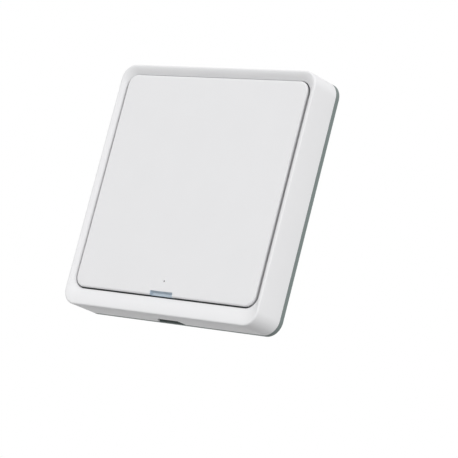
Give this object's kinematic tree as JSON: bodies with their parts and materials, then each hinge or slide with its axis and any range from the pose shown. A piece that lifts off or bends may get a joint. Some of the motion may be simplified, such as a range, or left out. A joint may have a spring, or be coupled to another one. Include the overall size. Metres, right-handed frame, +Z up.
{
  "type": "wireless wall switch",
  "caption": "Square surface-mounted wireless wall switch: wall plate, clip-on white front with a dished border, and a wide rocking key over a battery-powered sender.",
  "frame": {"origin": "centre of the wall plate's back face, on the wall", "axes": "+X to the right seen from the room, +Y into the wall, +Z up; the key faces -Y"},
  "size_m": [0.08, 0.0126, 0.08],
  "materials": {
    "white_plastic": "smooth moulded, satin",
    "plate_plastic": "moulded grey, faintly green",
    "carrier_plastic": "moulded grey",
    "board_green": "solder mask over glass cloth",
    "signal_window": "clear blue-grey, moulded",
    "pin_steel": "ground",
    "switch_black": "moulded",
    "sheet_steel": "pressed sheet",
    "plunger_plastic": "moulded",
    "cell_steel": "rolled, bare face",
    "holder_black": "moulded",
    "contact_nickel": "nickel-plated spring sheet",
    "chip_black": "moulded epoxy, bare top",
    "can_steel": "drawn can, bare top",
    "wire_copper": "tinned copper wire",
    "lamp_plastic": "moulded lamp",
    "chip_ceramic": "sintered",
    "screw_steel": "zinc-plated"
  },
  "bodies": {
    "wall": {"wall_plate": "plate_plastic"},
    "front": {"front_frame": "white_plastic", "carrier": "carrier_plastic", "circuit_board": "board_green", "pivot_pin": "pin_steel", "on_switch_base": "switch_black", "on_switch_cover": "sheet_steel", "off_switch_base": "switch_black", "off_switch_cover": "sheet_steel", "coin_cell": "cell_steel", "battery_holder": "holder_black", "positive_contact": "contact_nickel", "negative_contact": "contact_nickel", "encoder_chip": "chip_black", "resonator_can": "can_steel", "rf_transistor": "chip_black", "antenna_wire": "wire_copper", "indicator_led": "lamp_plastic", "chip_components": "chip_ceramic", "board_screws": "screw_steel"},
    "key": {"rocker_key": "white_plastic", "indicator_window": "signal_window"},
    "on_plunger": {"on_switch_plunger": "plunger_plastic"},
    "off_plunger": {"off_switch_plunger": "plunger_plastic"}
  },
  "joints": [
    {"name": "front_swing", "type": "hinge", "parent": "wall", "child": "front", "pos_m": [0, -0.0017, 0.04], "axis": [-1, 0, 0], "range_deg": [0, 12]},
    {"name": "key_rock", "type": "hinge", "parent": "front", "child": "key", "pos_m": [0, -0.0088, 0.00143], "axis": [-1, 0, 0], "range_deg": [-1.4, 1.4], "stiffness_Nm_per_rad": 1},
    {"name": "on_plunger_travel", "type": "slide", "parent": "front", "child": "on_plunger", "axis": [0, 1, 0], "range_m": [-0.0004, 0.0004]},
    {"name": "off_plunger_travel", "type": "slide", "parent": "front", "child": "off_plunger", "axis": [0, 1, 0], "range_m": [-0.0004, 0.0004]}
  ],
  "couplings": [
    {"joint": "on_plunger_travel", "follows": "key_rock", "m_per_rad": 0.01637},
    {"joint": "off_plunger_travel", "follows": "key_rock", "m_per_rad": -0.01637}
  ]
}
